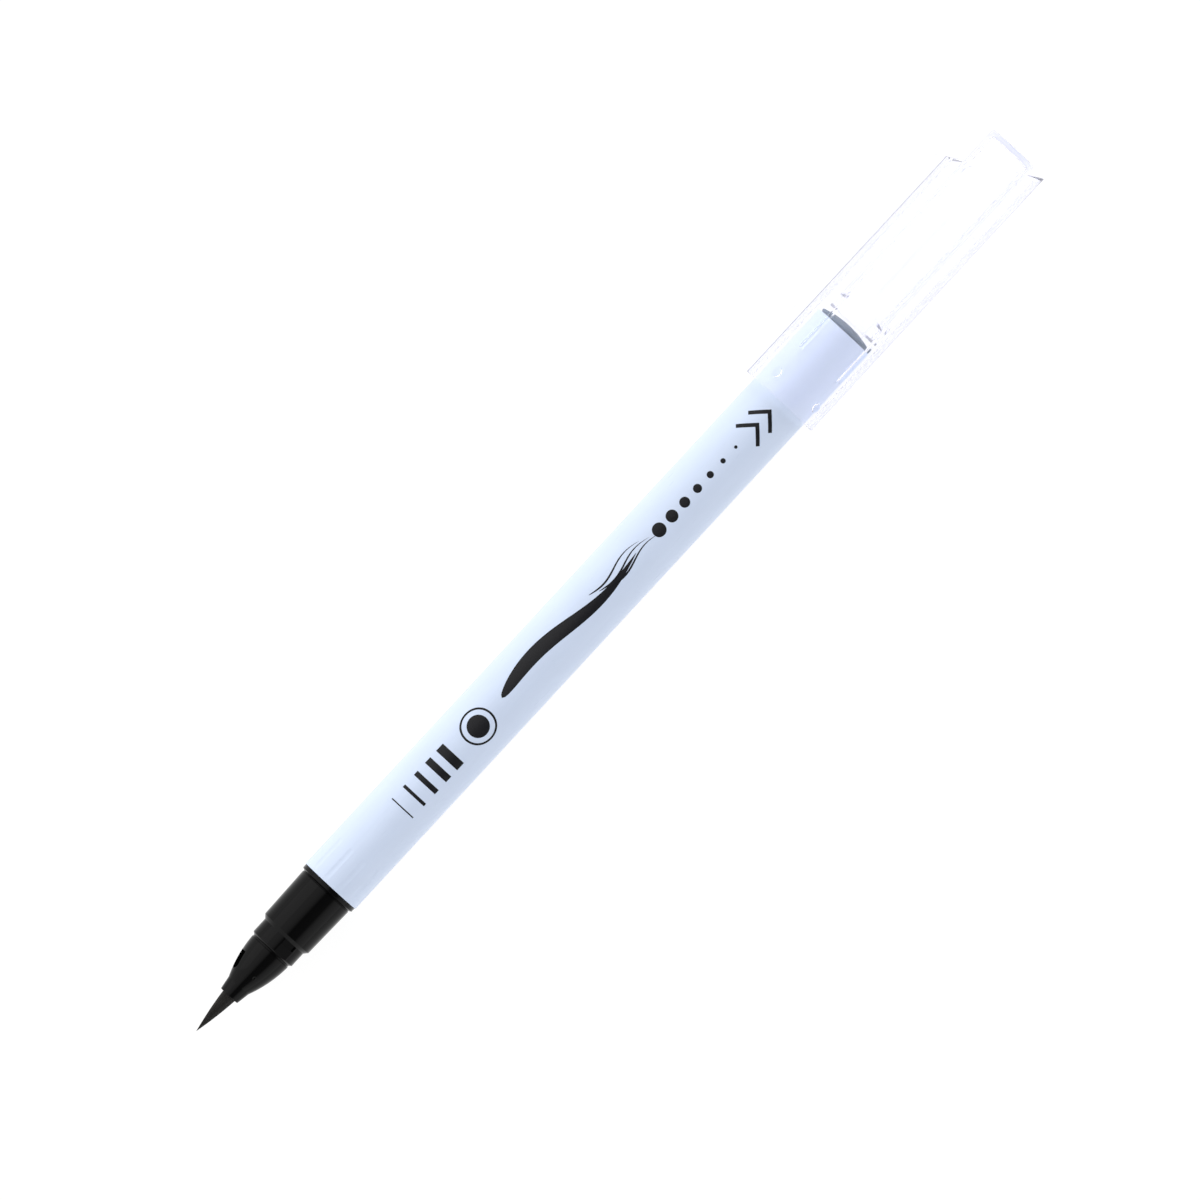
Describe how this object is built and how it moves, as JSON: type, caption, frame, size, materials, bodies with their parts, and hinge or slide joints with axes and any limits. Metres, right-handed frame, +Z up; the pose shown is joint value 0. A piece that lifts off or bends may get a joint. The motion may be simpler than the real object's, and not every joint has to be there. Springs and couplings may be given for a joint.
{
  "type": "brush pen",
  "caption": "Brush pen with a pale blue barrel, black stepped nose and dark filament tuft; its clear cap with an anti-roll fin is posted on the tail.",
  "frame": {"origin": "on the pen's axis, halfway along the barrel", "axes": "+X along the axis from the tuft to the tail, +Y towards the cap's fin, +Z up with the pen lying on its side"},
  "size_m": [0.1797, 0.0146, 0.013],
  "materials": {
    "barrel_blue": "satin",
    "black_nose": "gloss",
    "slate_plug": "satin",
    "clear_cap": "gloss",
    "tuft_filament": "matte",
    "inner_moulding": "satin",
    "core_fibre": "matte",
    "wadding_fibre": "matte",
    "film": "satin"
  },
  "bodies": {
    "pen": {"barrel": "barrel_blue", "front_section": "black_nose", "brush_tuft": "tuft_filament", "tuft_retainer": "inner_moulding", "relay_core": "core_fibre", "ink_wadding": "wadding_fibre", "wadding_film": "film", "tail_plug": "slate_plug"},
    "cap": {"cap_shell": "clear_cap", "inner_cap": "clear_cap"}
  },
  "joints": [
    {"name": "cap_slide", "type": "slide", "parent": "pen", "child": "cap", "axis": [1, 0, 0], "range_m": [0, 0.03]}
  ]
}
